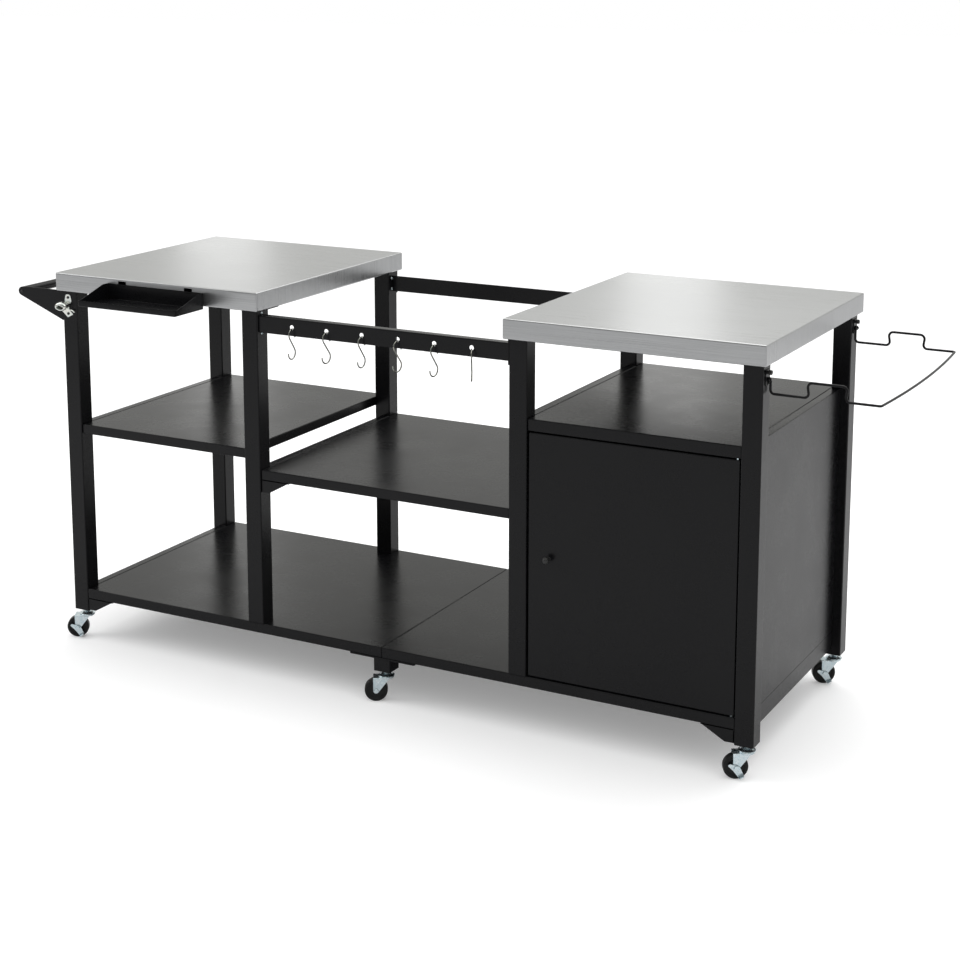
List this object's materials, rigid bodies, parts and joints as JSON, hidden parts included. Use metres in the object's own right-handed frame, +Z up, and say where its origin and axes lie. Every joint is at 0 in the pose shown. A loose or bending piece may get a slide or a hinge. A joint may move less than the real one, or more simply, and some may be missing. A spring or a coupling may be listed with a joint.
{
  "type": "grill cart",
  "caption": "Long wheeled grill cart: stainless tabletops either side of a lower grill bay, with shelves, a cabinet, hook rail, tray, push handle and bag hoop.",
  "frame": {"origin": "centre of the bounding box's footprint, on the floor under the wheels", "axes": "+X along the cart from the push handle to the bag hoop, +Y from the front to the back, +Z up"},
  "size_m": [2.0285, 0.714, 0.868],
  "materials": {
    "powder_coat": "semi-gloss black powder coat",
    "stainless": "brushed along the cart",
    "zinc": "bright zinc plate",
    "nickel": "polished",
    "black_plastic": "fine texture",
    "wheel_rubber": "smooth moulded"
  },
  "bodies": {
    "frame": {"top_left": "stainless", "top_right": "stainless", "under_pans": "powder_coat", "top_plates": "powder_coat", "leg_left_front": "powder_coat", "leg_left_back": "powder_coat", "leg_inner_left_front": "powder_coat", "leg_inner_left_back": "powder_coat", "leg_inner_right_front": "powder_coat", "leg_inner_right_back": "powder_coat", "leg_right_front": "powder_coat", "leg_right_back": "powder_coat", "stub_legs": "powder_coat", "side_rails": "powder_coat", "base_left": "powder_coat", "base_right": "powder_coat", "shelf_left": "powder_coat", "shelf_middle": "powder_coat", "cabinet_top": "powder_coat", "splice_plates": "powder_coat", "corner_brackets": "powder_coat", "hook_rail": "powder_coat", "back_rail": "powder_coat", "cabinet_panels": "powder_coat", "hinge_pins": "zinc", "door_catch": "black_plastic", "handle_brackets": "powder_coat", "handle_bar": "powder_coat", "bottle_opener": "zinc", "hoop_brackets": "powder_coat", "hoop_knobs": "black_plastic", "caster_stems": "zinc", "leg_plugs": "black_plastic", "frame_bolts": "zinc"},
    "door": {"door": "powder_coat", "door_knob": "black_plastic"},
    "tray": {"tray": "powder_coat"},
    "bag_hoop": {"bag_hoop": "powder_coat"},
    "hook_1": {"hook_1": "nickel"},
    "hook_2": {"hook_2": "nickel"},
    "hook_3": {"hook_3": "nickel"},
    "hook_4": {"hook_4": "nickel"},
    "hook_5": {"hook_5": "nickel"},
    "hook_6": {"hook_6": "nickel"},
    "swivel_1": {"fork_1": "zinc"},
    "wheel_1": {"wheel_1": "wheel_rubber"},
    "swivel_2": {"fork_2": "zinc"},
    "wheel_2": {"wheel_2": "wheel_rubber"},
    "swivel_3": {"fork_3": "zinc"},
    "wheel_3": {"wheel_3": "wheel_rubber"},
    "swivel_4": {"fork_4": "zinc"},
    "wheel_4": {"wheel_4": "wheel_rubber"},
    "swivel_5": {"fork_5": "zinc"},
    "wheel_5": {"wheel_5": "wheel_rubber"},
    "swivel_6": {"fork_6": "zinc"},
    "wheel_6": {"wheel_6": "wheel_rubber"},
    "pedal_1": {"pedal_1": "zinc"},
    "pedal_3": {"pedal_3": "zinc"},
    "pedal_4": {"pedal_4": "zinc"},
    "pedal_6": {"pedal_6": "zinc"}
  },
  "joints": [
    {"name": "door_hinge", "type": "hinge", "parent": "frame", "child": "door", "pos_m": [0.73475, -0.233, 0.382], "axis": [0, 0, 1], "range_deg": [0, 100]},
    {"name": "tray_lift", "type": "slide", "parent": "frame", "child": "tray", "axis": [0, 0, 1], "range_m": [0, 0.006]},
    {"name": "bag_hoop_fold", "type": "hinge", "parent": "frame", "child": "bag_hoop", "pos_m": [0.78855, 0.051, 0.797], "axis": [0, -1, 0], "range_deg": [0, 90]},
    {"name": "hook_1_swing", "type": "hinge", "parent": "frame", "child": "hook_1", "pos_m": [-0.26768, -0.23825, 0.7943], "axis": [1, 0, 0], "range_deg": [-15, 15]},
    {"name": "hook_2_swing", "type": "hinge", "parent": "frame", "child": "hook_2", "pos_m": [-0.18111, -0.23825, 0.7943], "axis": [0.9877, -0.1564, 0], "range_deg": [-15, 15]},
    {"name": "hook_3_swing", "type": "hinge", "parent": "frame", "child": "hook_3", "pos_m": [-0.09454, -0.23825, 0.7943], "axis": [0.9962, -0.0872, 0], "range_deg": [-15, 15]},
    {"name": "hook_4_swing", "type": "hinge", "parent": "frame", "child": "hook_4", "pos_m": [-0.00796, -0.23825, 0.7943], "axis": [0.9781, -0.2079, 0], "range_deg": [-15, 15]},
    {"name": "hook_5_swing", "type": "hinge", "parent": "frame", "child": "hook_5", "pos_m": [0.07861, -0.23825, 0.7943], "axis": [0.9903, -0.1392, 0], "range_deg": [-15, 15]},
    {"name": "hook_6_swing", "type": "hinge", "parent": "frame", "child": "hook_6", "pos_m": [0.16518, -0.23825, 0.7943], "axis": [0.891, 0.454, 0], "range_deg": [-10, 10]},
    {"name": "swivel_1_turn", "type": "hinge", "parent": "frame", "child": "swivel_1", "pos_m": [-0.86625, -0.223, 0.064], "axis": [0, 0, 1], "continuous": true},
    {"name": "wheel_1_roll", "type": "hinge", "parent": "swivel_1", "child": "wheel_1", "pos_m": [-0.8853, -0.234, 0.025], "axis": [0.5, -0.866, 0], "continuous": true},
    {"name": "swivel_2_turn", "type": "hinge", "parent": "frame", "child": "swivel_2", "pos_m": [-0.05125, -0.223, 0.064], "axis": [0, 0, 1], "continuous": true},
    {"name": "wheel_2_roll", "type": "hinge", "parent": "swivel_2", "child": "wheel_2", "pos_m": [-0.0703, -0.234, 0.025], "axis": [0.5, -0.866, 0], "continuous": true},
    {"name": "swivel_3_turn", "type": "hinge", "parent": "frame", "child": "swivel_3", "pos_m": [0.76375, -0.223, 0.064], "axis": [0, 0, 1], "continuous": true},
    {"name": "wheel_3_roll", "type": "hinge", "parent": "swivel_3", "child": "wheel_3", "pos_m": [0.7447, -0.234, 0.025], "axis": [0.5, -0.866, 0], "continuous": true},
    {"name": "swivel_4_turn", "type": "hinge", "parent": "frame", "child": "swivel_4", "pos_m": [-0.86625, 0.325, 0.064], "axis": [0, 0, 1], "continuous": true},
    {"name": "wheel_4_roll", "type": "hinge", "parent": "swivel_4", "child": "wheel_4", "pos_m": [-0.8853, 0.314, 0.025], "axis": [0.5, -0.866, 0], "continuous": true},
    {"name": "swivel_5_turn", "type": "hinge", "parent": "frame", "child": "swivel_5", "pos_m": [-0.05125, 0.325, 0.064], "axis": [0, 0, 1], "continuous": true},
    {"name": "wheel_5_roll", "type": "hinge", "parent": "swivel_5", "child": "wheel_5", "pos_m": [-0.0703, 0.314, 0.025], "axis": [0.5, -0.866, 0], "continuous": true},
    {"name": "swivel_6_turn", "type": "hinge", "parent": "frame", "child": "swivel_6", "pos_m": [0.76375, 0.325, 0.064], "axis": [0, 0, 1], "continuous": true},
    {"name": "wheel_6_roll", "type": "hinge", "parent": "swivel_6", "child": "wheel_6", "pos_m": [0.7447, 0.314, 0.025], "axis": [0.5, -0.866, 0], "continuous": true},
    {"name": "pedal_1_press", "type": "hinge", "parent": "swivel_1", "child": "pedal_1", "pos_m": [-0.8853, -0.234, 0.025], "axis": [0.5, -0.866, 0], "range_deg": [0, 25]},
    {"name": "pedal_3_press", "type": "hinge", "parent": "swivel_3", "child": "pedal_3", "pos_m": [0.7447, -0.234, 0.025], "axis": [0.5, -0.866, 0], "range_deg": [0, 25]},
    {"name": "pedal_4_press", "type": "hinge", "parent": "swivel_4", "child": "pedal_4", "pos_m": [-0.8853, 0.314, 0.025], "axis": [0.5, -0.866, 0], "range_deg": [0, 25]},
    {"name": "pedal_6_press", "type": "hinge", "parent": "swivel_6", "child": "pedal_6", "pos_m": [0.7447, 0.314, 0.025], "axis": [0.5, -0.866, 0], "range_deg": [0, 25]}
  ]
}
